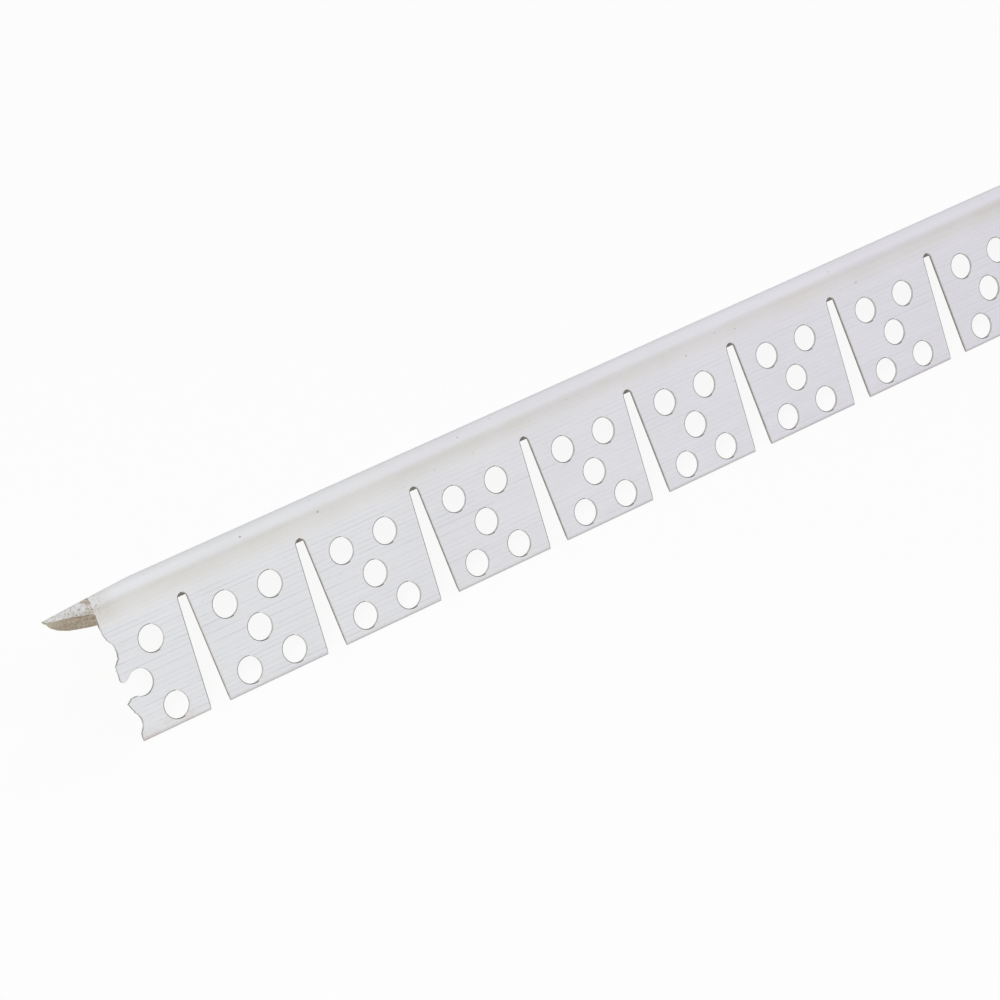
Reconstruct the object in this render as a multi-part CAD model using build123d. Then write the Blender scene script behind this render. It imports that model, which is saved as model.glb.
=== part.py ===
from build123d import *
import math
import os

# Arch corner bead: one strip of white vinyl, extruded as an angle with a raised round nose.
# The front leg is punched with groups of five round holes that key the plaster, and notched
# between the groups, so that the strip can follow an arch. The rear leg is plain.
# Millimetres. +X runs along the stock, +Z is up, and the strip stands like a tent: its nose
# is on top and the tips of both legs are on the ground. The origin is on the ground, below
# the nose, in the middle of the length. The front leg is on the -Y side.

# Stock
STOCK_LENGTH = 2438.4  # eight feet, from the point of the nose to the square right end
CORNER_ANGLE = 68.0  # inside angle between the legs, in degrees
LEG_THICKNESS = 0.7
LEG_WIDTH = 28.4  # from the outermost point of the nose to the tip, along the leg
INSIDE_RADIUS = 0.8  # hollow corner under the nose

# Nose, and the hollow flare that joins it to the flat of each leg
NOSE_RADIUS = 2.0
NOSE_RAISE = 0.75  # how far the nose stands out of the plane of a leg
FLARE_RADIUS = 4.8

# Punched holes: five to a group, four at the corners and one in the middle
HOLE_DIAMETER = 5.1
HOLE_SPACING = 9.75  # between the holes of a row, along the stock
HOLE_ROW_SPACING = 13.0  # between the upper and the lower row
TIP_TO_MIDDLE_HOLE = 10.1

# One stroke of the press makes five groups, and the strip then moves on by five inches
GROUPS_PER_STROKE = 5
GROUP_PITCH = 25.55  # from one group of a stroke to the next
STROKE_STEP = 127.0

# Notches in the front leg, one to the left of each group
NOTCH_DEPTH = 21.9  # from the tip to the top of the notch
NOTCH_MOUTH = 4.2  # width at the tip
NOTCH_TOP_RADIUS = 1.0
NOTCH_LEAN = 0.4  # how far the top is off the middle of the mouth, along +X
NOTCH_TO_MIDDLE_HOLE = 12.6  # from the middle of the mouth to the group on its right

# Left end. Points are measured from the middle hole of the first group, along the stock, and
# up the leg from its tip. The front leg is torn off through that group, and the thin web
# beside its middle hole is broken out.
POINT_TO_MIDDLE_HOLE = 13.5  # from the point of the nose
NOSE_SLIT = [(-13.5, 27.5), (-12.8, 26.9), (-8.4, 26.2), (-6.4, 25.6), (-3.6, 24.9)]
TORN_ABOVE_WEB = [
    (-3.5, 20.8),
    (-3.1, 19.5),
    (-2.3, 18.3),
    (-2.1, 16.9),
    (-2.3, 15.6),
    (-3.3, 14.9),
    (-3.5, 13.6),
    (-3.5, 11.6),
    (-3.2, 11.3),
    (-2.8, 11.3),
    (-1.2, 12.1),
]
TORN_BELOW_WEB = [(-0.9, 8.0), (-2.7, 8.1), (-3.8, 7.3), (-3.1, 5.8), (-2.9, 4.6), (-2.9, 2.9), (-3.4, 0.6)]
# The rear leg is snipped off in a curve, from the point of the nose down to the tip
REAR_SNIP = [
    (-13.5, 28.0),
    (-11.5, 23.9),
    (-9.9, 20.5),
    (-8.3, 17.6),
    (-5.6, 14.2),
    (-3.1, 11.5),
    (-0.9, 9.5),
    (3.1, 7.2),
    (9.0, 3.6),
    (14.0, 0.0),
]
# The back of the nose is shaved off towards its point, at half a right angle to the ground
SHAVE_LENGTH = 19.0
SHAVE_DEPTH = 1.2  # at the point
SHAVE_REACH = 5.0  # how far the shave runs to each side of the middle of the nose

PUNCH_REACH = 2.0  # how far the cuts start outside a leg's outer plane
PUNCH_THROUGH = 2.0  # how far the punches run past the inside of the front leg
OVERRUN = 1.0  # how far a cut runs past the edge that it opens
UNDERCUT = 1.2  # how far the left end's cuts run past the inside of their own leg

HALF_ANGLE = math.radians(CORNER_ANGLE / 2)
LEFT_END = -STOCK_LENGTH / 2
FIRST_HOLE = LEFT_END + POINT_TO_MIDDLE_HOLE

# The centre of the nose, measured down from the corner where the outer planes of the legs meet
NOSE_CENTRE_DROP = (NOSE_RADIUS - NOSE_RAISE) / math.sin(HALF_ANGLE)
NOSE_CENTRE_ALONG = NOSE_CENTRE_DROP * math.cos(HALF_ANGLE)

# Distances along a leg are counted from that same corner
TIP_ALONG = NOSE_CENTRE_ALONG - NOSE_RADIUS + LEG_WIDTH
TIP_RADIUS = LEG_THICKNESS / 2
CORNER_HEIGHT = (
    TIP_RADIUS
    + (TIP_ALONG - TIP_RADIUS) * math.cos(HALF_ANGLE)
    + TIP_RADIUS * math.sin(HALF_ANGLE)
)
FRONT = -1
REAR = 1


def section_point(side, along, out):
    """A point of the section: along a leg from the corner, and out of the leg's outer plane."""
    y = side * (along * math.sin(HALF_ANGLE) + out * math.cos(HALF_ANGLE))
    z = CORNER_HEIGHT - along * math.cos(HALF_ANGLE) + out * math.sin(HALF_ANGLE)
    return y, z


def arc_middle(centre, radius, start, end):
    """The middle of the shorter arc from start to end, in a leg's own along and out."""
    x = (start[0] + end[0]) / 2 - centre[0]
    y = (start[1] + end[1]) / 2 - centre[1]
    size = math.hypot(x, y)
    return centre[0] + radius * x / size, centre[1] + radius * y / size


def flare_and_nose(side):
    """The hollow flare of one leg, from its flat to the point where the nose takes over."""
    nose_out = NOSE_RAISE - NOSE_RADIUS
    reach = FLARE_RADIUS + NOSE_RADIUS
    flat_end = NOSE_CENTRE_ALONG + math.sqrt(reach**2 - (FLARE_RADIUS - nose_out) ** 2)
    centre = (flat_end, FLARE_RADIUS)
    share = NOSE_RADIUS / reach
    start = (flat_end, 0)
    end = (
        NOSE_CENTRE_ALONG + share * (flat_end - NOSE_CENTRE_ALONG),
        nose_out + share * (FLARE_RADIUS - nose_out),
    )
    middle = arc_middle(centre, FLARE_RADIUS, start, end)
    return [section_point(side, *point) for point in (start, middle, end)]


def leg_tip(side):
    """The three points of the round edge of a leg's tip, from the outside to the inside."""
    outside = (TIP_ALONG - TIP_RADIUS, 0)
    end = (TIP_ALONG, -TIP_RADIUS)
    inside = (TIP_ALONG - TIP_RADIUS, -LEG_THICKNESS)
    return [section_point(side, *point) for point in (outside, end, inside)]


def inside_corner():
    """The three points of the hollow corner's arc, from the front leg to the rear leg."""
    centre_drop = (LEG_THICKNESS + INSIDE_RADIUS) / math.sin(HALF_ANGLE)
    along = centre_drop * math.cos(HALF_ANGLE)
    top = (0, CORNER_HEIGHT - centre_drop + INSIDE_RADIUS)
    return (
        section_point(FRONT, along, -LEG_THICKNESS),
        top,
        section_point(REAR, along, -LEG_THICKNESS),
    )


def bead_section():
    """The closed outline of the extrusion, across the stock."""
    front_flat, front_flare, front_nose = flare_and_nose(FRONT)
    rear_flat, rear_flare, rear_nose = flare_and_nose(REAR)
    nose_top = (0, CORNER_HEIGHT - NOSE_CENTRE_DROP + NOSE_RADIUS)
    front_outside, front_tip, front_inside = leg_tip(FRONT)
    rear_outside, rear_tip, rear_inside = leg_tip(REAR)
    corner_front, corner_top, corner_rear = inside_corner()
    with BuildSketch(Plane.YZ.offset(LEFT_END)) as section:
        with BuildLine():
            ThreePointArc(front_nose, nose_top, rear_nose)
            ThreePointArc(rear_nose, rear_flare, rear_flat)
            Line(rear_flat, rear_outside)
            ThreePointArc(rear_outside, rear_tip, rear_inside)
            Line(rear_inside, corner_rear)
            ThreePointArc(corner_rear, corner_top, corner_front)
            Line(corner_front, front_inside)
            ThreePointArc(front_inside, front_tip, front_outside)
            Line(front_outside, front_flat)
            ThreePointArc(front_flat, front_flare, front_nose)
        make_face()
    return section.sketch


def group_centres():
    """Places along the stock of the middle holes of all groups."""
    centres = []
    while True:
        stroke, place = divmod(len(centres), GROUPS_PER_STROKE)
        centre = FIRST_HOLE + stroke * STROKE_STEP + place * GROUP_PITCH
        if centre - NOTCH_TO_MIDDLE_HOLE - NOTCH_MOUTH / 2 > STOCK_LENGTH / 2:
            return centres
        centres.append(centre)


def leg_plane(side):
    """A plane just outside a leg, seen from outside: y runs up the leg from its tip."""
    y, z = section_point(side, TIP_ALONG, PUNCH_REACH)
    outwards = (0, side * math.cos(HALF_ANGLE), math.sin(HALF_ANGLE))
    return Plane(origin=(0, y, z), x_dir=(-side, 0, 0), z_dir=outwards)


def cut_through(sketch, overrun):
    """Cuts from a leg's plane through the leg, and past its inside by the overrun."""
    return extrude(sketch, amount=-PUNCH_REACH - LEG_THICKNESS - overrun).solids()


def hole_punches():
    """Five round punches for each group that meets the stock."""
    group = [(0, 0)]
    for x in (-HOLE_SPACING / 2, HOLE_SPACING / 2):
        for y in (-HOLE_ROW_SPACING / 2, HOLE_ROW_SPACING / 2):
            group.append((x, y))
    places = []
    for centre in group_centres():
        for x, y in group:
            if centre + x < STOCK_LENGTH / 2 + HOLE_DIAMETER / 2:
                places.append((centre + x, TIP_TO_MIDDLE_HOLE + y))
    with BuildSketch(leg_plane(FRONT)) as holes:
        with Locations(*places):
            Circle(HOLE_DIAMETER / 2)
    return cut_through(holes.sketch, PUNCH_THROUGH)


def notch_punches():
    """A tapered punch with a round top to the left of each group but the first."""
    top_centre = NOTCH_DEPTH - NOTCH_TOP_RADIUS
    left_slope = (NOTCH_MOUTH / 2 + NOTCH_LEAN - NOTCH_TOP_RADIUS) / top_centre
    right_slope = (NOTCH_MOUTH / 2 - NOTCH_LEAN - NOTCH_TOP_RADIUS) / top_centre
    left_mouth = (-NOTCH_MOUTH / 2 - left_slope * OVERRUN, -OVERRUN)
    right_mouth = (NOTCH_MOUTH / 2 + right_slope * OVERRUN, -OVERRUN)
    left_top = (NOTCH_LEAN - NOTCH_TOP_RADIUS, top_centre)
    right_top = (NOTCH_LEAN + NOTCH_TOP_RADIUS, top_centre)
    with BuildSketch() as notch:
        with BuildLine():
            Polyline(left_top, left_mouth, right_mouth, right_top)
            ThreePointArc(right_top, (NOTCH_LEAN, NOTCH_DEPTH), left_top)
        make_face()
    places = [(centre - NOTCH_TO_MIDDLE_HOLE, 0) for centre in group_centres()[1:]]
    with BuildSketch(leg_plane(FRONT)) as notches:
        with Locations(*places):
            add(notch.sketch)
    return cut_through(notches.sketch, PUNCH_THROUGH)


def end_cut(side, edge):
    """What is missing from one leg to the left of the given edge, nose first."""
    left = LEFT_END - OVERRUN
    top = LEG_WIDTH + OVERRUN
    points = [(left, top), (FIRST_HOLE + edge[0][0], top)]
    points += [(FIRST_HOLE + x, y) for x, y in edge]
    points += [(FIRST_HOLE + edge[-1][0], -OVERRUN), (left, -OVERRUN)]
    # the plane of the rear leg has its x axis the other way round
    points = [(-side * x, y) for x, y in points]
    with BuildSketch(leg_plane(side)) as cut:
        Polygon(*points, align=None)
    return cut_through(cut.sketch, UNDERCUT)


def nose_shave():
    """The wedge that is missing from the back of the nose, near its point."""
    nose_centre = (0, 0, CORNER_HEIGHT - NOSE_CENTRE_DROP)
    plane = Plane(origin=nose_centre, x_dir=(1, 0, 0), z_dir=(0, -1, 1))
    slope = SHAVE_DEPTH / SHAVE_LENGTH
    top = NOSE_RADIUS + OVERRUN
    points = [
        (LEFT_END - OVERRUN, top),
        (LEFT_END - OVERRUN, NOSE_RADIUS - SHAVE_DEPTH - slope * OVERRUN),
        (LEFT_END + SHAVE_LENGTH, NOSE_RADIUS),
        (LEFT_END + SHAVE_LENGTH, top),
    ]
    with BuildSketch(plane) as wedge:
        Polygon(*points, align=None)
    return extrude(wedge.sketch, amount=SHAVE_REACH, both=True).solids()


def arch_corner_bead():
    """The extrusion with its front leg punched, and with its left end torn and snipped off."""
    cuts = hole_punches() + notch_punches()
    cuts += end_cut(FRONT, NOSE_SLIT + TORN_ABOVE_WEB + TORN_BELOW_WEB)
    cuts += end_cut(REAR, REAR_SNIP) + nose_shave()
    return extrude(bead_section(), amount=STOCK_LENGTH) - cuts


bead = arch_corner_bead()
os.makedirs("parts", exist_ok=True)
export_step(bead, "parts/arch_corner_bead.step")
box = bead.bounding_box()
print("arch_corner_bead", round(bead.volume, 1), "mm3,", len(bead.solids()), "solid")
print("size", [round(value, 3) for value in box.size], "lowest", round(box.min.Z, 4))
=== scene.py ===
import math
import random

import bmesh
import bpy
from mathutils import Matrix, Vector
from mathutils.geometry import delaunay_2d_cdt


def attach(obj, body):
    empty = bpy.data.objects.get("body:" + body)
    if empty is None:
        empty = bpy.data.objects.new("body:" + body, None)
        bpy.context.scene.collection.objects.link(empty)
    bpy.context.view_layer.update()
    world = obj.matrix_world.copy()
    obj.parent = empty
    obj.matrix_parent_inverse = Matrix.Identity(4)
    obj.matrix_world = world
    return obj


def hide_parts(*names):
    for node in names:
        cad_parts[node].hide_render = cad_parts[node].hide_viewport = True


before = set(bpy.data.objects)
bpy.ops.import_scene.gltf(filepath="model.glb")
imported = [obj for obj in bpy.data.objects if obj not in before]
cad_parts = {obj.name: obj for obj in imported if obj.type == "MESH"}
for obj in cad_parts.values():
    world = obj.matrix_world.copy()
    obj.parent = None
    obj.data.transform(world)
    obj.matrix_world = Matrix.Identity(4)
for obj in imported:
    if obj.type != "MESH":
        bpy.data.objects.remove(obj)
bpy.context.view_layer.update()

random.seed(11)

# One closed skin stands for the whole strip. The punched stretch of its front leg is made tab by
# tab from flat outlines, and the nose, the rear leg and the inside are drawn out of the section.
# Sizes are in millimetres, as in the part's source, and MM turns them into metres.
MM = 0.001
FRONT, REAR = -1, 1

# Stock
STOCK_LENGTH = 2438.4
CORNER_ANGLE = 68.0
LEG_THICKNESS = 0.7
LEG_WIDTH = 28.4
INSIDE_RADIUS = 0.8
NOSE_RADIUS = 2.0
NOSE_RAISE = 0.75
FLARE_RADIUS = 4.8

# Punched holes and notches
HOLE_DIAMETER = 5.1
HOLE_SPACING = 9.75
HOLE_ROW_SPACING = 13.0
TIP_TO_MIDDLE_HOLE = 10.1
GROUPS_PER_STROKE = 5
GROUP_PITCH = 25.55
STROKE_STEP = 127.0
NOTCH_DEPTH = 21.9
NOTCH_MOUTH = 4.2
NOTCH_TOP_RADIUS = 1.0
NOTCH_LEAN = 0.4
NOTCH_TO_MIDDLE_HOLE = 12.6

# Left end. Points are measured from the first middle hole, and up the leg from its tip.
POINT_TO_MIDDLE_HOLE = 13.5
NOSE_SLIT = [(-13.5, 27.5), (-12.8, 26.9), (-8.4, 26.2), (-6.4, 25.6), (-3.6, 24.9)]
TORN_SIDE = [
    (-3.5, 20.8), (-3.1, 19.5), (-2.3, 18.3), (-2.1, 16.9), (-2.3, 15.6), (-3.3, 14.9),
    (-3.5, 13.6), (-3.5, 11.6), (-3.2, 11.3), (-2.8, 11.3), (-1.2, 12.1), (-0.9, 8.0),
    (-2.7, 8.1), (-3.8, 7.3), (-3.1, 5.8), (-2.9, 4.6), (-2.9, 2.9), (-3.4, 0.6),
]
REAR_SNIP = [
    (-13.5, 28.0), (-11.5, 23.9), (-9.9, 20.5), (-8.3, 17.6), (-5.6, 14.2), (-3.1, 11.5),
    (-0.9, 9.5), (3.1, 7.2), (9.0, 3.6), (14.0, 0.0),
]
SHAVE_LENGTH = 19.0
SHAVE_DEPTH = 1.2

# Detail that only the scene has
EDGE = 0.14  # width of the rounding round the punched edges, where a painted shade line lies
EDGE_SUNK = 0.05  # how far that rounding falls away at the edge
UNSHADED_SIDE = 0.35  # edges that face the torn end more squarely than this have no painted shade line
TORN_EDGE = 0.05  # width of the rounding along the torn side
RAGGED = 0.07  # how far the torn side wanders
RAGGED_STEP = 0.4
TORN_GAP = 0.06  # the least distance between two points of the torn side

# How finely the skin is cut up
SEAM_UP = 22.3  # the punched stretch of the front leg ends here, above the notches
END_STATIONS = (-13.5, -12.5, -11.0, -8.0, -5.0, -2.0, 1.0, 3.0, 5.5, 9.0, 11.5)
LEG_STATIONS = [8.0, 12.0, 16.0, 20.0, 24.0]  # down the rear leg from the corner
INSIDE_STATION = 5.0
HOLE_SIDES = 30
NOTCH_TOP_STEPS = 6
NOTCH_SIDE_SHARES = (0.25, 0.5, 0.75, 0.95)
TAB_TIP_STEPS = 6
EDGE_STEPS = 3
NOSE_STEPS = 9
FLARE_STEPS = 8
TIP_STEPS = 8
CORNER_STEPS = 6
CIRCLE_TESTS = 40  # places at which each stretch of the torn side is tested against a hole
NEARLY_STRAIGHT = 0.05  # sine of a turn that an inset takes for none
INSET_REACH = 2.0  # the furthest that an inset goes at a sharp turn, in widths
HOLE_MARGIN = 0.001
MERGE_WITHIN = 0.002
TRIANGLES_INSIDE = 1  # what delaunay_2d_cdt is asked for
SHARP_ANGLE = math.radians(32.0)

HALF_ANGLE = math.radians(CORNER_ANGLE / 2)
SIN, COS = math.sin(HALF_ANGLE), math.cos(HALF_ANGLE)
HOLE_RADIUS = HOLE_DIAMETER / 2
TIP_RADIUS = LEG_THICKNESS / 2
NOSE_CENTRE_DROP = (NOSE_RADIUS - NOSE_RAISE) / SIN
NOSE_CENTRE_ALONG = NOSE_CENTRE_DROP * COS
TIP_ALONG = NOSE_CENTRE_ALONG - NOSE_RADIUS + LEG_WIDTH
CORNER_HEIGHT = TIP_RADIUS + (TIP_ALONG - TIP_RADIUS) * COS + TIP_RADIUS * SIN
FIRST_HOLE = -STOCK_LENGTH / 2 + POINT_TO_MIDDLE_HOLE
TORN_AT = FIRST_HOLE - 3.9  # the torn side runs up over the nose here. Dirt is placed from it.
SLIT_FOOT = (NOSE_SLIT[-1][0], SEAM_UP)  # where the torn side meets the seam

# Materials by number, in the order in which the skin gets them
OUTSIDE, INSIDE, CUT, SHADE_LINE, HOLE, END = range(6)


def section_point(side, along, out):
    """A point of the section: along a leg from the corner, and out of the leg's outer plane."""
    y = side * (along * SIN + out * COS)
    z = CORNER_HEIGHT - along * COS + out * SIN
    return y, z


def place(x, side, along, out):
    """A point of the strip, in metres."""
    return Vector((x, *section_point(side, along, out))) * MM


def between(a, b, share):
    """The point at a share of the way from a to b."""
    return a[0] + (b[0] - a[0]) * share, a[1] + (b[1] - a[1]) * share


def moved(spot, direction, distance):
    return spot[0] + direction[0] * distance, spot[1] + direction[1] * distance


def left_normal(a, b):
    """The direction that points to the left of the way from a to b."""
    length = math.dist(a, b)
    return (a[1] - b[1]) / length, (b[0] - a[0]) / length


def on_circle(centre, radius, turn):
    return centre[0] + radius * math.cos(turn), centre[1] + radius * math.sin(turn)


def arc(centre, radius, first_turn, last_turn, steps):
    """Points of an arc, both ends included."""
    turns = [first_turn + (last_turn - first_turn) * k / steps for k in range(steps + 1)]
    return [on_circle(centre, radius, turn) for turn in turns]


def ring_edges(start, count):
    """The edges of a closed ring of points, of which the first has the number start."""
    return [(start + k, start + (k + 1) % count) for k in range(count)]


class Skin:
    """Points and faces of the strip's surface, with a material number for each face."""

    def __init__(self):
        self.points, self.faces, self.kinds = [], [], []

    def add(self, points):
        start = len(self.points)
        self.points += points
        return list(range(start, start + len(points)))

    def face(self, corners, kind):
        self.faces.append(tuple(corners))
        self.kinds.append(kind)

    def band(self, first, second, kind):
        """A strip of quads between two rows of points of the same length."""
        for corners in zip(first, first[1:], second[1:], second):
            self.face(corners, kind)


def group_centres():
    """The middle hole of each group, along the stock."""
    centres = []
    while True:
        stroke, index = divmod(len(centres), GROUPS_PER_STROKE)
        centre = FIRST_HOLE + stroke * STROKE_STEP + index * GROUP_PITCH
        if centre > STOCK_LENGTH / 2:
            return centres
        centres.append(centre)


def notch_side(side, middle):
    """One side of a notch, from the middle of its round top down to its mouth."""
    centre = (middle + NOTCH_LEAN, NOTCH_DEPTH - NOTCH_TOP_RADIUS)
    top = arc(centre, NOTCH_TOP_RADIUS, math.pi / 2, (1 - side) * math.pi / 2, NOTCH_TOP_STEPS)
    mouth = (middle + side * NOTCH_MOUTH / 2, 0.0)
    return top + [between(top[-1], mouth, share) for share in NOTCH_SIDE_SHARES] + [mouth]


def circle_cut(chain, centre, radius):
    """The chain with its stretch inside a circle replaced by the circle's arc, taken clockwise."""
    result, inside, enter = [], False, None
    for start, end in zip(chain, chain[1:]):
        if not inside:
            result.append(start)
        for test in range(CIRCLE_TESTS):
            spot = between(start, end, (test + 0.5) / CIRCLE_TESTS)
            turn = math.atan2(spot[1] - centre[1], spot[0] - centre[0])
            now = math.dist(spot, centre) < radius
            if now and not inside:
                enter = turn
            if inside and not now:
                sweep = (enter - turn) % (2 * math.pi)
                steps = max(2, round(sweep / (2 * math.pi / HOLE_SIDES)))
                result += arc(centre, radius, enter, enter - sweep, steps)
            inside = now
    return result + [chain[-1]]


def ragged(chain):
    """A torn edge: short steps between the given points, each a little off the line."""
    result = [chain[0]]
    for start, end in zip(chain, chain[1:]):
        count = max(1, round(math.dist(start, end) / RAGGED_STEP))
        for k in range(1, count + 1):
            off = random.uniform(-RAGGED, RAGGED) if k < count else 0.0
            result.append(moved(between(start, end, k / count), left_normal(start, end), off))
    return result


def torn_side():
    """The front leg's torn side, from the seam to the tip, with what is left of three holes."""
    chain = ragged([SLIT_FOOT] + TORN_SIDE + [(TORN_SIDE[-1][0], 0.0)])
    for x, row in ((-HOLE_SPACING / 2, 1), (0.0, 0), (-HOLE_SPACING / 2, -1)):
        centre = (x, TIP_TO_MIDDLE_HOLE + row * HOLE_ROW_SPACING / 2)
        chain = circle_cut(chain, centre, HOLE_RADIUS)
    kept = chain[:1]
    for spot in chain[1:]:
        if math.dist(spot, kept[-1]) > TORN_GAP:
            kept.append(spot)
    return kept


def sawn_side(end):
    """The right side of the last tab: the sawn end, down to the notch that nibbles its corner."""
    notch = notch_side(-1, GROUP_PITCH - NOTCH_TO_MIDDLE_HOLE)
    slope_top, mouth = notch[NOTCH_TOP_STEPS], notch[-1]
    top = (end, SEAM_UP)
    corner = (end, (end - mouth[0]) / (slope_top[0] - mouth[0]) * slope_top[1])
    return [top, between(top, corner, 0.5), corner, between(corner, mouth, 0.5), mouth]


def inset(chain, widths):
    """Each point of a chain moved into the sheet, which is on its left, by the widths beside it."""
    normals = [left_normal(a, b) for a, b in zip(chain, chain[1:])]
    result = []
    for index, spot in enumerate(chain):
        before, after = max(index - 1, 0), min(index, len(normals) - 1)
        n, w = normals[before], widths[before]
        m, v = normals[after], widths[after]
        cross = n[0] * m[1] - n[1] * m[0]
        if abs(cross) < NEARLY_STRAIGHT:
            result.append(moved(spot, n, w))
        else:
            # to where the inner lines of both stretches meet
            way = ((w * m[1] - v * n[1]) / cross, (n[0] * v - m[0] * w) / cross)
            share = min(1.0, INSET_REACH * max(w, v) / math.hypot(*way))
            result.append(moved(spot, way, share))
    return result


class Tab:
    """One tab of the front leg, flat. Points are along the stock from its middle hole, and up."""

    def __init__(self, left, right, holes, seam):
        """Both sides run down to the tip, from a notch's top or, where the strip ends, the seam."""
        self.holes = holes
        open_left, open_right = (side[0][1] == SEAM_UP for side in (left, right))
        tip = [between(left[-1], right[-1], k / TAB_TIP_STEPS) for k in range(1, TAB_TIP_STEPS)]
        self.chain = left + tip + right[::-1]
        on_left, on_right = len(left) - 1, len(right) - 1
        self.kinds = [CUT] * on_left + [OUTSIDE] * TAB_TIP_STEPS + [CUT] * on_right
        widths = [TORN_EDGE if open_left else EDGE] * on_left
        widths += [TIP_RADIUS] * TAB_TIP_STEPS + [EDGE] * on_right
        self.inner = inset(self.chain, widths)
        # how far each point of the chain's rounding falls away from the leg's face
        wider = [max(pair) for pair in zip(widths[:1] + widths, widths + widths[-1:])]
        self.depths = [EDGE_SUNK if width == EDGE else width for width in wider]
        # both ends of the chain stay in line with the neighbouring tab or with the seam
        for k, is_open in ((0, open_left), (-1, open_right)):
            x, up = self.chain[k]
            self.inner[k] = (x, up) if is_open else (x, up + EDGE)
            self.depths[k] = 0.0 if is_open else EDGE_SUNK
        outline = list(self.inner)
        if not open_right:
            outline.append((self.chain[-1][0], SEAM_UP))
        outline += [(x, SEAM_UP) for x in reversed(seam)]
        if not open_left:
            outline.append((self.chain[0][0], SEAM_UP))
        self.cut_up(outline)

    def cut_up(self, outline):
        """The flat face inside the outline and round the holes, as points and triangles."""
        flat, edges = list(outline), ring_edges(0, len(outline))
        for hole in self.holes:
            edges += ring_edges(len(flat), HOLE_SIDES)
            flat += arc(hole, HOLE_RADIUS + EDGE, 0.0, 2 * math.pi, HOLE_SIDES)[:-1]
        flat = [Vector(spot) for spot in flat]
        spots, _, triangles, *_ = delaunay_2d_cdt(flat, edges, [], TRIANGLES_INSIDE, 1e-7)
        self.spots = [tuple(spot) for spot in spots]
        self.triangles = [corners for corners in triangles if not self.in_a_hole(corners)]

    def in_a_hole(self, corners):
        reach = HOLE_RADIUS + EDGE + HOLE_MARGIN
        for hole in self.holes:
            if all(math.dist(self.spots[c], hole) < reach for c in corners):
                return True
        return False

    def add_to(self, skin, shift):
        """Adds the tab's two faces to the skin, and the walls of its edge and holes."""
        for out, kind in ((0.0, OUTSIDE), (-LEG_THICKNESS, INSIDE)):
            ids = skin.add([place(x + shift, FRONT, TIP_ALONG - up, out) for x, up in self.spots])
            for corners in self.triangles:
                row = [ids[c] for c in corners]
                skin.face(row[::-1] if kind == INSIDE else row, kind)
        add_wall(skin, shift, self.chain, self.inner, self.depths, self.kinds, EDGE_STEPS)
        for hole in self.holes:
            chain, wider = (
                arc(hole, radius, 0.0, -2 * math.pi, HOLE_SIDES)
                for radius in (HOLE_RADIUS, HOLE_RADIUS + EDGE)
            )
            add_wall(skin, shift, chain, wider, [EDGE_SUNK] * len(chain), [HOLE] * HOLE_SIDES, 1)


def add_wall(skin, shift, chain, inner, depths, kinds, steps):
    """A rounded edge of the front leg: rows of points from its outer face to its inner face."""
    rows = []
    for k in range(2 * steps + 2):
        on_outside = k <= steps
        turn = math.pi / 2 * (k if on_outside else 2 * steps + 1 - k) / steps
        row = []
        for edge, within, depth in zip(chain, inner, depths):
            x, up = between(within, edge, math.sin(turn))
            sunk = depth * (1 - math.cos(turn))
            out = -sunk if on_outside else sunk - LEG_THICKNESS
            row.append(place(x + shift, FRONT, TIP_ALONG - up, out))
        rows.append(skin.add(row))
    for i, kind in enumerate(kinds):
        # the outer rounding of edges that face away from the torn end gets a painted shade line
        without_shade_line = left_normal(chain[i], chain[i + 1])[0] >= UNSHADED_SIDE
        for k, (upper, lower) in enumerate(zip(rows, rows[1:])):
            here = kind
            if kind == OUTSIDE and k > steps:
                here = INSIDE
            elif kind != OUTSIDE and k < steps and not without_shade_line:
                here = SHADE_LINE
            skin.face((lower[i], lower[i + 1], upper[i + 1], upper[i]), here)


def add_punched_leg(skin, centres):
    """The front leg below the seam, tab by tab from the torn end. Like tabs are worked out once."""
    five = [(0.0, TIP_TO_MIDDLE_HOLE)]
    for side in (-1, 1):
        for row in (-1, 1):
            up = TIP_TO_MIDDLE_HOLE + row * HOLE_ROW_SPACING / 2
            five.append((side * HOLE_SPACING / 2, up))
    tabs = {}
    for index, centre in enumerate(centres):
        is_first, is_last = index == 0, index == len(centres) - 1
        pitch = None if is_last else round(centres[index + 1] - centre, 3)
        key = (is_first, pitch)
        if key not in tabs:
            left = torn_side() if is_first else notch_side(1, -NOTCH_TO_MIDDLE_HOLE)
            if is_last:
                right = sawn_side(STOCK_LENGTH / 2 - centre)
            else:
                right = notch_side(-1, pitch - NOTCH_TO_MIDDLE_HOLE)
            # in the torn tab only the two holes on its right are whole, the last two of the five
            holes = five[3:] if is_first else five
            seam = [x for x in END_STATIONS if x > SLIT_FOOT[0]] if is_first else []
            tabs[key] = Tab(left, right, holes, seam)
        tabs[key].add_to(skin, centre)


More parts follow.
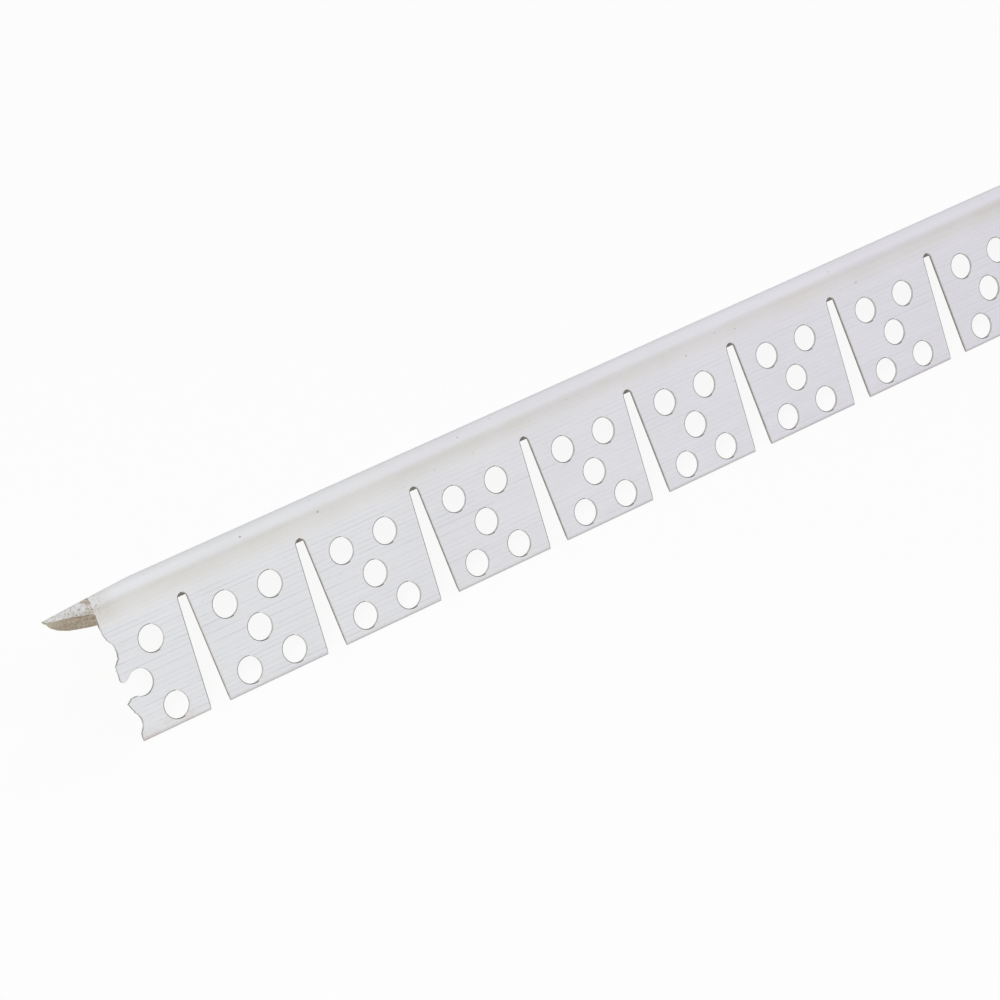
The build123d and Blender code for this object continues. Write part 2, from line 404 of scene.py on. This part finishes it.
def section_rows():
    """The section from the front leg's seam over the nose and the rear leg's tip, and back inside.

    Both lists hold (side, along, out). The second goes on where the first one ends."""
    nose_out = NOSE_RAISE - NOSE_RADIUS
    reach = FLARE_RADIUS + NOSE_RADIUS
    flat_end = NOSE_CENTRE_ALONG + math.sqrt(reach**2 - (FLARE_RADIUS - nose_out) ** 2)
    to_nose = math.atan2(nose_out - FLARE_RADIUS, NOSE_CENTRE_ALONG - flat_end)
    # the symmetry plane lies at this turn, seen from the centre of the nose or the hollow corner
    to_middle = math.pi - HALF_ANGLE
    flare = arc((flat_end, FLARE_RADIUS), FLARE_RADIUS, -math.pi / 2, to_nose, FLARE_STEPS)
    nose_centre = (NOSE_CENTRE_ALONG, nose_out)
    half_nose = arc(nose_centre, NOSE_RADIUS, to_nose + math.pi, to_middle, NOSE_STEPS)[1:]
    upper = flare + half_nose[:-1]
    tip_centre = (TIP_ALONG - TIP_RADIUS, -TIP_RADIUS)
    tip = arc(tip_centre, TIP_RADIUS, math.pi / 2, -math.pi / 2, TIP_STEPS)
    corner_along = (LEG_THICKNESS + INSIDE_RADIUS) / SIN * COS
    corner_centre = (corner_along, -LEG_THICKNESS - INSIDE_RADIUS)
    corner = arc(corner_centre, INSIDE_RADIUS, math.pi / 2, to_middle, CORNER_STEPS)

    seam = TIP_ALONG - SEAM_UP
    outside = [(FRONT, seam, 0.0)] + [(FRONT, *point) for point in upper + half_nose[-1:]]
    outside += [(REAR, *point) for point in upper[::-1]]
    outside += [(REAR, along, 0.0) for along in LEG_STATIONS] + [(REAR, *point) for point in tip]
    inside = [(REAR, along, -LEG_THICKNESS) for along in LEG_STATIONS[::-1] + [INSIDE_STATION]]
    inside += [(REAR, *point) for point in corner]
    inside += [(FRONT, *point) for point in corner[-2::-1]]
    inside += [(FRONT, along, -LEG_THICKNESS) for along in (INSIDE_STATION, seam)]
    return outside, inside


def x_at(outline, up):
    """Where an outline that falls from point to point has the given height."""
    if up >= outline[0][1]:
        return outline[0][0]
    for upper, lower in zip(outline, outline[1:]):
        if upper[1] >= up >= lower[1]:
            return between(upper, lower, (upper[1] - up) / max(upper[1] - lower[1], 1e-9))[0]
    return outline[-1][0]


def shaved(side, along, out, x):
    """A point of the strip, in metres, with the shave of the nose's back taken off."""
    y, z = section_point(side, along, out)
    height = (y + z - (CORNER_HEIGHT - NOSE_CENTRE_DROP)) / math.sqrt(2)
    depth = SHAVE_DEPTH * max(0.0, 1 - (x + POINT_TO_MIDDLE_HOLE) / SHAVE_LENGTH)
    off = max(0.0, height - (NOSE_RADIUS - depth)) / math.sqrt(2)
    return Vector((x + FIRST_HOLE, y - off, z - off)) * MM


def add_upper_part(skin, centres):
    """Everything but the punched stretch: the nose, its flares, the rear leg and the inside."""
    outside, inside = section_rows()
    points = outside + inside
    stations = list(END_STATIONS)
    stations += [centre - FIRST_HOLE - NOTCH_TO_MIDDLE_HOLE + NOTCH_LEAN for centre in centres[1:]]
    stations.append(STOCK_LENGTH - POINT_TO_MIDDLE_HOLE)
    rows = []
    for side, along, out in points:
        outline = NOSE_SLIT + [SLIT_FOOT] if side == FRONT else REAR_SNIP
        start = x_at(outline, TIP_ALONG - along)
        rows.append(skin.add([shaved(side, along, out, max(x, start)) for x in stations]))
    for k in range(len(points) - 1):
        skin.band(rows[k], rows[k + 1], OUTSIDE if k < len(outside) - 1 else INSIDE)
    for corners in section_triangles(points):
        skin.face([rows[c][0] for c in corners[::-1]], END)
        skin.face([rows[c][-1] for c in corners], END)


def section_triangles(points):
    """The section cut into triangles between its own points, for the caps of both ends."""
    flat = []
    for side, along, out in points:
        flat.append(Vector((side * (along * SIN + out * COS), out * SIN - along * COS)))
    edges = ring_edges(0, len(flat))
    _, _, triangles, origins, *_ = delaunay_2d_cdt(flat, edges, [], TRIANGLES_INSIDE, 1e-6)
    return [[origins[c][0] for c in corners] for corners in triangles]


def build_skin():
    skin = Skin()
    centres = group_centres()
    add_punched_leg(skin, centres)
    add_upper_part(skin, centres)
    mesh = bpy.data.meshes.new("bead_skin")
    mesh.from_pydata([tuple(p) for p in skin.points], [], skin.faces)
    piece = bpy.data.objects.new("bead_skin", mesh)
    bpy.context.scene.collection.objects.link(piece)
    for make in (
        vinyl_material, inside_material, cut_material, shade_line_material, hole_material, end_material,
    ):
        mesh.materials.append(make())
    mesh.polygons.foreach_set("material_index", skin.kinds)
    close_and_smooth(mesh)
    return piece


def close_and_smooth(mesh):
    """Joins the points that the skin's parts share, and shades it smooth but for its sharp edges."""
    work = bmesh.new()
    work.from_mesh(mesh)
    bmesh.ops.remove_doubles(work, verts=work.verts, dist=MERGE_WITHIN * MM)
    bmesh.ops.dissolve_degenerate(work, edges=work.edges, dist=1e-7)
    for face in work.faces:
        face.smooth = True
    for edge in work.edges:
        if len(edge.link_faces) == 2:
            one, other = edge.link_faces
            at_a_cut = (one.material_index > INSIDE) != (other.material_index > INSIDE)
            edge.smooth = not at_a_cut and edge.calc_face_angle(0.0) < SHARP_ANGLE
    work.to_mesh(mesh)
    work.free()
    mesh.update()


class Nodes:
    """The node tree of a material or a world, with short ways to add nodes to it."""

    def __init__(self, owner):
        owner.use_nodes = True
        self.tree = owner.node_tree
        self.tree.nodes.clear()

    def new(self, kind, inputs):
        return self.fill(self.tree.nodes.new(kind), inputs)

    def fill(self, node, inputs):
        """Sets inputs of a node to numbers and colours, or links them to other nodes' outputs."""
        for name, value in inputs.items():
            if isinstance(value, bpy.types.NodeSocket):
                self.tree.links.new(value, node.inputs[name])
            else:
                node.inputs[name].default_value = value
        return node

    def math(self, operation, *values):
        node = self.tree.nodes.new("ShaderNodeMath")
        node.operation = operation
        return self.fill(node, dict(enumerate(values))).outputs[0]

    def times(self, first, *others):
        for other in others:
            first = self.math("MULTIPLY", first, other)
        return first

    def vector(self, x, y):
        return self.new("ShaderNodeCombineXYZ", {0: x, 1: y}).outputs[0]

    def noise(self, vector, scale, detail, roughness=0.5):
        inputs = {"Vector": vector, "Scale": scale, "Detail": detail, "Roughness": roughness}
        return self.new("ShaderNodeTexNoise", inputs).outputs["Fac"]

    def span(self, value, low, high):
        """A value between 0 and 1 turned into one between two levels."""
        inputs = {"Value": value, "To Min": low, "To Max": high}
        return self.new("ShaderNodeMapRange", inputs).outputs[0]

    def ranged(self, value, from_low, from_high, to_low=0.0, to_high=1.0):
        """A smooth step from one level to another over a range of a value."""
        node = self.tree.nodes.new("ShaderNodeMapRange")
        node.interpolation_type = "SMOOTHSTEP"
        inputs = {"Value": value, "From Min": from_low, "From Max": from_high}
        return self.fill(node, inputs | {"To Min": to_low, "To Max": to_high}).outputs[0]

    def zone(self, distance, start, end, to_low=0.0, to_high=1.0):
        """Like ranged, for a distance, with the range in millimetres."""
        return self.ranged(distance, start * MM, end * MM, to_low, to_high)

    def hump(self, distance, low, top_low, top_high, high):
        """1 between the two middle places, 0 outside the outer two, all four in millimetres."""
        rise = self.zone(distance, low, top_low)
        return self.times(rise, self.zone(distance, top_high, high, 1.0, 0.0))

    def seen_directly(self):
        """1 for what the camera sees, also in gloss or glass, and 0 for light that falls on things."""
        path = self.tree.nodes.new("ShaderNodeLightPath")
        seen = self.math("MAXIMUM", path.outputs["Is Camera Ray"], path.outputs["Is Glossy Ray"])
        return self.math("MAXIMUM", seen, path.outputs["Is Transmission Ray"])


class Vinyl(Nodes):
    """One of the strip's materials, with the colour that it has so far."""

    def __init__(self, name):
        self.material = bpy.data.materials.new(name)
        super().__init__(self.material)
        self.spot = self.tree.nodes.new("ShaderNodeTexCoord").outputs["Object"]

    def axes(self):
        """A point's distances along the stock, across it and above the ground."""
        return self.new("ShaderNodeSeparateXYZ", {0: self.spot}).outputs

    def along_leg(self, y, z):
        """How far down its leg from the corner a point lies."""
        down = self.math("SUBTRACT", CORNER_HEIGHT * MM, z)
        return self.math("MULTIPLY_ADD", self.math("ABSOLUTE", y), SIN, self.times(down, COS))

    def under_face(self, y, z):
        """How far a point lies under the outer face of its leg."""
        down = self.math("SUBTRACT", CORNER_HEIGHT * MM, z)
        inward = self.times(self.math("ABSOLUTE", y), COS)
        return self.math("SUBTRACT", self.times(down, SIN), inward)

    def from_torn(self, x):
        """How far to the right of the torn side a point lies."""
        return self.math("SUBTRACT", x, TORN_AT * MM)

    def spots_of(self, scale, detail, roughness=0.5):
        return self.noise(self.spot, scale, detail, roughness)

    def drawn_lines(self, x, along, across, lengthwise):
        """Noise drawn out along the stock, as the die leaves it."""
        vector = self.vector(self.times(x, lengthwise), self.times(along, across))
        return self.noise(vector, 1.0, 3.0, 0.6)

    def paint(self, factor, colours, low_at=0.3, high_at=0.65):
        """Starts the colour, between two colours."""
        ramp = self.new("ShaderNodeValToRGB", {0: factor})
        for element, position, colour in zip(ramp.color_ramp.elements, (low_at, high_at), colours):
            element.position = position
            element.color = (*colour, 1)
        self.colour = ramp.outputs[0]

    def tint(self, factor, colour):
        """Multiplies the colour by another one, where the factor is 1."""
        node = self.tree.nodes.new("ShaderNodeMix")
        node.data_type = "RGBA"
        node.blend_type = "MULTIPLY"
        self.colour = self.fill(node, {0: factor, 6: self.colour, 7: (*colour, 1)}).outputs[2]

    def finish(self, roughness, height, strength=0.4, distance=0.04):
        """Adds the shader and a bump, whose distance is in millimetres."""
        inputs = {"Height": height, "Strength": strength, "Distance": distance * MM}
        bump = self.new("ShaderNodeBump", inputs)
        inputs = {"Base Color": self.colour, "Roughness": roughness, "Normal": bump.outputs[0]}
        shader = self.new("ShaderNodeBsdfPrincipled", inputs | {"IOR": VINYL_IOR})
        self.new("ShaderNodeOutputMaterial", {0: shader.outputs[0]})
        return self.material


VINYL_IOR = 1.53
RIB_PITCH = 0.88
RIB_WIDTH = 0.17  # from the middle of a groove to its edge

# Colours of the outside: a range from dark to light, and tints that multiply it
WHITE = ((0.715, 0.72, 0.74), (0.765, 0.77, 0.79))
COOLER = (1.025, 1.0, 1.04)
RIB_TINT = (0.78, 0.80, 0.84)
DUST_AND_SHADE_TINT = (0.945, 0.92, 0.855)
TORN_TINT = (0.97, 0.965, 0.94)
GRIME_TINT = (0.84, 0.80, 0.74)
LIP_TINT = (0.72, 0.62, 0.53)
BESIDE_TINT = (0.90, 0.88, 0.84)
PEPPER_TINT = (0.70, 0.67, 0.61)
CRACK_TINT = (0.56, 0.49, 0.42)
TIP_SHADE_TINT = (0.72, 0.70, 0.68)
STAIN_TINT = (0.93, 0.87, 0.82)
SPECK_TINT = (0.55, 0.47, 0.38)

# Ranges and tints of the other materials
# the inside's range holds painted shade, and its tints a painted brown reflection and painted shade
DUSTY_SHADED = ((0.60, 0.54, 0.47), (0.72, 0.68, 0.62))
BROWN_REFLECTION_TINT = (1.0, 0.95, 0.80)
DEEP_SHADE_TINT = (0.52, 0.43, 0.34)
CUT_COLOURS = ((0.20, 0.18, 0.15), (0.66, 0.645, 0.625))
TORN_CUT_TINT = (0.93, 0.955, 1.0)
HOLE_COLOURS = ((0.60, 0.585, 0.56), (0.76, 0.76, 0.77))
# painted shade: a dark line on the edges that face away from the light
SHADE_LINE_COLOURS = ((0.07, 0.063, 0.052), (0.19, 0.175, 0.155))
END_COLOURS = ((0.60, 0.59, 0.575), (0.72, 0.715, 0.71))
END_DIRT_TINT = (0.62, 0.53, 0.43)
END_SPECK_TINT = (0.66, 0.60, 0.54)


def vinyl_material():
    """White extruded vinyl: fine ribs, faint mottling, dust and painted shade in the flare, dirt at
    the torn end and painted shade on the legs' tips.
    """
    vinyl = Vinyl("white_vinyl")
    x, y, z = vinyl.axes()
    along = vinyl.along_leg(y, z)
    from_torn = vinyl.from_torn(x)
    lines = vinyl.drawn_lines(x, along, 1150.0, 12.0)
    mottle = vinyl.spots_of(70.0, 4.0)
    vinyl.paint(vinyl.math("MULTIPLY_ADD", lines, 0.6, vinyl.times(mottle, 0.4)), WHITE)
    # away from the torn end the ribs are fainter and the white is cooler
    far = vinyl.zone(from_torn, 19.6, 179.6)
    ribs = vinyl.times(
        fine_ribs(vinyl, x, along),
        vinyl.zone(along, 5.0, 8.5, 0.2, 1.0),
        vinyl.math("MULTIPLY_ADD", far, -0.4, 1.0),
    )
    vinyl.tint(far, COOLER)
    vinyl.tint(ribs, RIB_TINT)
    # warm dust and painted shade lie in the hollow under the nose, darkening its crease
    patches = vinyl.ranged(vinyl.spots_of(120.0, 5.0, 0.6), 0.3, 0.7, 0.55, 1.0)
    vinyl.tint(vinyl.times(vinyl.hump(along, 1.6, 2.8, 3.8, 7.4), patches), DUST_AND_SHADE_TINT)
    grain = vinyl.spots_of(1300.0, 6.0, 0.8)
    grime = dirty_nose(vinyl, along, from_torn, vinyl.zone(y, 0.5, 4.5, 1.0, 0.0), grain)
    tip_shade_and_stains(vinyl, along, from_torn)
    # a few specks of dirt, most of them on the nose and in its hollow
    specks = vinyl.ranged(vinyl.spots_of(1150.0, 2.0), 0.735, 0.775)
    vinyl.tint(vinyl.times(specks, vinyl.zone(along, 4.5, 6.5, 1.0, 0.25)), SPECK_TINT)
    height = vinyl.math("MULTIPLY_ADD", ribs, -1.0, vinyl.times(lines, 0.5))
    height = vinyl.math("MULTIPLY_ADD", grime, vinyl.times(grain, 6.0), height)
    return vinyl.finish(vinyl.span(mottle, 0.38, 0.55), height, 0.5, 0.06)


def fine_ribs(vinyl, x, along):
    """Narrow grooves along the stock, each of its own strength, that fade in and out."""
    turns = vinyl.times(along, 1.0 / (RIB_PITCH * MM))
    number = vinyl.math("FLOOR", turns)
    place_in_rib = vinyl.math("SUBTRACT", turns, number)
    off = vinyl.math("ABSOLUTE", vinyl.math("SUBTRACT", place_in_rib, 0.5))
    groove = vinyl.ranged(off, 0.0, RIB_WIDTH / RIB_PITCH, 1.0, 0.0)
    own = vinyl.tree.nodes.new("ShaderNodeTexWhiteNoise")
    own.noise_dimensions = "1D"
    vinyl.fill(own, {"W": number})
    strength = vinyl.math("MULTIPLY_ADD", own.outputs["Value"], 0.8, 0.2)
    vector = vinyl.vector(vinyl.times(x, 90.0), vinyl.times(number, 7.31))
    fade = vinyl.ranged(vinyl.noise(vector, 1.0, 4.0, 0.7), 0.35, 0.62, 0.1, 1.0)
    return vinyl.times(groove, vinyl.times(strength, fade))


def dirty_nose(vinyl, along, from_torn, front, grain):
    """Dirt on the nose, where the torn side runs up over it. Returns how thick the grime is."""
    # grime on the point of the nose beyond the torn side
    torn = vinyl.times(vinyl.zone(from_torn, -0.4, 0.2, 1.0, 0.0), front)
    low = vinyl.zone(along, -0.6, 1.6, 0.15, 1.0)
    grime = vinyl.times(torn, vinyl.ranged(grain, 0.40, 0.62), low)
    vinyl.tint(torn, TORN_TINT)
    vinyl.tint(grime, GRIME_TINT)
    # a brown lip over the nose, and a paler strip beside it
    lip = vinyl.times(
        vinyl.hump(from_torn, -2.2, -0.8, -0.2, 0.2),
        vinyl.ranged(grain, 0.36, 0.62, 0.3, 1.0),
        vinyl.zone(along, 1.0, 1.8, 1.0, 0.15),
        front,
    )
    vinyl.tint(lip, LIP_TINT)
    beside = vinyl.times(
        vinyl.hump(from_torn, 0.0, 0.3, 1.8, 5.5),
        vinyl.ranged(grain, 0.38, 0.60, 0.25, 1.0),
        vinyl.zone(along, 3.0, 7.0, 1.0, 0.1),
    )
    vinyl.tint(beside, BESIDE_TINT)
    # fine specks on both sides of the torn side, and a thin broken line of dirt in it
    peppered = vinyl.hump(from_torn, -11.0, -6.0, 1.0, 3.0)
    peppered = vinyl.times(peppered, vinyl.zone(along, 2.6, 4.4, 1.0, 0.0))
    pepper = vinyl.ranged(vinyl.spots_of(2600.0, 2.0), 0.57, 0.64)
    vinyl.tint(vinyl.times(pepper, vinyl.times(peppered, front)), PEPPER_TINT)
    crack = vinyl.hump(from_torn, -0.3, -0.1, 0.0, 0.2)
    crack = vinyl.times(crack, vinyl.ranged(grain, 0.44, 0.54, 0.1, 1.0), front)
    vinyl.tint(crack, CRACK_TINT)
    return grime


def tip_shade_and_stains(vinyl, along, from_torn):
    """A painted shade line on the rounded tips of the legs, and stains at the foot of the first tab.
    """
    # painted shade along the rounded tips of the legs
    vinyl.tint(vinyl.zone(along, TIP_ALONG - 0.55, TIP_ALONG - 0.15), TIP_SHADE_TINT)
    foot = vinyl.zone(along, TIP_ALONG - 2.6, TIP_ALONG - 0.3)
    first_tab = vinyl.zone(from_torn, 7.9, 15.9, 1.0, 0.15)
    blots = vinyl.ranged(vinyl.spots_of(260.0, 4.0, 0.6), 0.42, 0.58, 0.1, 1.0)
    vinyl.tint(vinyl.times(foot, vinyl.times(first_tab, blots)), STAIN_TINT)


def inside_material():
    """The inside of the strip: a little dusty, with painted shade and a painted brown reflection that
    make it darker and warmer than the outside.
    """
    vinyl = Vinyl("dusty_shaded_vinyl")
    x, y, z = vinyl.axes()
    from_torn = vinyl.from_torn(x)
    lines = vinyl.drawn_lines(x, vinyl.along_leg(y, z), 700.0, 12.0)
    dust = vinyl.spots_of(260.0, 6.0, 0.65)
    vinyl.paint(dust, DUSTY_SHADED)
    # painted brown reflection and painted shade inside the torn end, deeper and speckled towards the
    # front leg
    brown_reflection = vinyl.zone(from_torn, -5.1, 33.9, 1.0, 0.35)
    deep_shade = vinyl.zone(from_torn, -8.1, -1.1, 0.15, 1.0)
    specks = vinyl.ranged(vinyl.spots_of(2400.0, 3.0, 0.7), 0.47, 0.55)
    vinyl.tint(brown_reflection, BROWN_REFLECTION_TINT)
    vinyl.tint(vinyl.times(brown_reflection, deep_shade, specks), DEEP_SHADE_TINT)
    return vinyl.finish(vinyl.span(dust, 0.5, 0.75), lines, 0.5, 0.06)


def cut_material():
    """The notches' walls and the torn side: rough and dirty, with painted shade that darkens them
    towards the inside of the sheet.
    """
    vinyl = Vinyl("cut_vinyl")
    x, y, z = vinyl.axes()
    blotches = vinyl.spots_of(900.0, 4.0, 0.6)
    # painted shade: lighter near the outer face, darker deeper in the wall
    shallow = vinyl.zone(vinyl.under_face(y, z), 0.0, 0.6, 0.6, 0.0)
    level = vinyl.math("MULTIPLY_ADD", blotches, 0.5, shallow)
    # the torn side is lighter, with darker stretches
    stretches = vinyl.ranged(vinyl.spots_of(330.0, 2.0), 0.42, 0.58, -0.05, 0.5)
    torn = vinyl.zone(vinyl.from_torn(x), 6.9, 9.9, 1.0, 0.0)
    vinyl.paint(vinyl.math("MULTIPLY_ADD", torn, stretches, level), CUT_COLOURS, 0.2, 0.9)
    vinyl.tint(torn, TORN_CUT_TINT)
    return vinyl.finish(vinyl.span(blotches, 0.6, 0.85), blotches)


def shade_line_material():
    """A painted shade line on the outer rounding of the punched edges that face away from the torn
    end.
    """
    vinyl = Vinyl("edge_shade_line")
    blotches = vinyl.spots_of(500.0, 4.0, 0.6)
    vinyl.paint(blotches, SHADE_LINE_COLOURS)
    return vinyl.finish(vinyl.span(blotches, 0.6, 0.85), blotches)


def hole_material():
    """The clean punched walls of the holes."""
    vinyl = Vinyl("punched_vinyl")
    blotches = vinyl.spots_of(700.0, 4.0, 0.6)
    vinyl.paint(blotches, HOLE_COLOURS)
    return vinyl.finish(vinyl.span(blotches, 0.5, 0.7), blotches)


def end_material():
    """The sawn right end, and the slit's dirty wall at the torn end."""
    vinyl = Vinyl("cut_end")
    x = vinyl.axes()[0]
    blotches = vinyl.spots_of(1100.0, 5.0, 0.7)
    vinyl.paint(blotches, END_COLOURS)
    # only the torn end is dirty, and the half of the strip that it is on
    torn = vinyl.zone(vinyl.from_torn(x), -10.1, -4.1, 0.45, 1.0)
    torn = vinyl.times(torn, vinyl.zone(x, 0.0, 500.0, 1.0, 0.0))
    vinyl.tint(torn, END_DIRT_TINT)
    vinyl.tint(vinyl.times(torn, vinyl.ranged(blotches, 0.42, 0.58, 1.0, 0.0)), END_SPECK_TINT)
    return vinyl.finish(vinyl.span(blotches, 0.6, 0.85), blotches)


# Stage, in metres
FLOOR_HALF = 60.0
FLOOR_AT = -0.0002
FLOOR_COLOUR = (0.86, 0.86, 0.86, 1)
FLOOR_GLOW = 0.92  # share of the floor's own white in what the camera sees
AMBIENT = 0.38

# The camera was fitted to the centres of the photo's holes
CAMERA_AT = (-1.43886, -0.45071, 0.43987)
CAMERA_LOOK = (0.45404, 0.63935, -0.62055)
CAMERA_UP = (0.37409, 0.49532, 0.78404)
CAMERA_LENS = 131.4
CAMERA_SENSOR = 36.0


def floor_material():
    """Pale floor, nearly white to the camera, that still takes the strip's shadow."""
    material = bpy.data.materials.new("floor_white")
    nodes = Nodes(material)
    diffuse = nodes.new("ShaderNodeBsdfDiffuse", {"Color": FLOOR_COLOUR})
    glow = nodes.new("ShaderNodeEmission", {"Strength": 1.0})
    share = nodes.times(nodes.seen_directly(), FLOOR_GLOW)
    mix = nodes.new("ShaderNodeMixShader", {0: share, 1: diffuse.outputs[0], 2: glow.outputs[0]})
    nodes.new("ShaderNodeOutputMaterial", {0: mix.outputs[0]})
    return material


def add_floor():
    mesh = bpy.data.meshes.new("floor")
    corners = []
    for x, y in ((-1, -1), (1, -1), (1, 1), (-1, 1)):
        corners.append((x * FLOOR_HALF, y * FLOOR_HALF, FLOOR_AT))
    mesh.from_pydata(corners, [], [(0, 1, 2, 3)])
    floor = bpy.data.objects.new("floor", mesh)
    bpy.context.scene.collection.objects.link(floor)
    mesh.materials.append(floor_material())


def add_world():
    """White to the camera, and soft light for everything else."""
    world = bpy.data.worlds.new("studio")
    bpy.context.scene.world = world
    nodes = Nodes(world)
    strength = nodes.math("MULTIPLY_ADD", nodes.seen_directly(), 1.0 - AMBIENT, AMBIENT)
    background = nodes.new("ShaderNodeBackground", {"Color": (1, 1, 1, 1), "Strength": strength})
    nodes.new("ShaderNodeOutputWorld", {0: background.outputs[0]})


def add_light(name, spot, aim, size, power):
    data = bpy.data.lights.new(name, "AREA")
    data.shape = "DISK"
    data.size = size
    data.energy = power
    light = bpy.data.objects.new(name, data)
    bpy.context.scene.collection.objects.link(light)
    light.location = spot
    light.rotation_euler = (Vector(aim) - Vector(spot)).to_track_quat("-Z", "Y").to_euler()


def add_camera():
    data = bpy.data.cameras.new("camera")
    data.sensor_width = CAMERA_SENSOR
    data.lens = CAMERA_LENS
    data.clip_start = 0.01
    data.clip_end = 50.0
    camera = bpy.data.objects.new("camera", data)
    bpy.context.scene.collection.objects.link(camera)
    look = Vector(CAMERA_LOOK).normalized()
    right = look.cross(Vector(CAMERA_UP)).normalized()
    turn = Matrix((right, right.cross(look), -look)).transposed()
    camera.matrix_world = Matrix.Translation(CAMERA_AT) @ turn.to_4x4()
    bpy.context.scene.camera = camera


bead = build_skin()
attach(bead, "root")
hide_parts("arch_corner_bead")

add_floor()
add_world()
add_light("key", (-1.79, -0.56, 0.88), (-1.1, 0.0, 0.01), 0.6, 8.2)
add_light("front", (0.8, -1.1, 1.6), (0.6, 0.0, 0.01), 1.2, 10.0)
add_light("fill", (0.9, 1.3, 1.5), (0.0, 0.0, 0.01), 1.2, 10.0)
add_camera()

bpy.context.scene.view_settings.view_transform = "Standard"
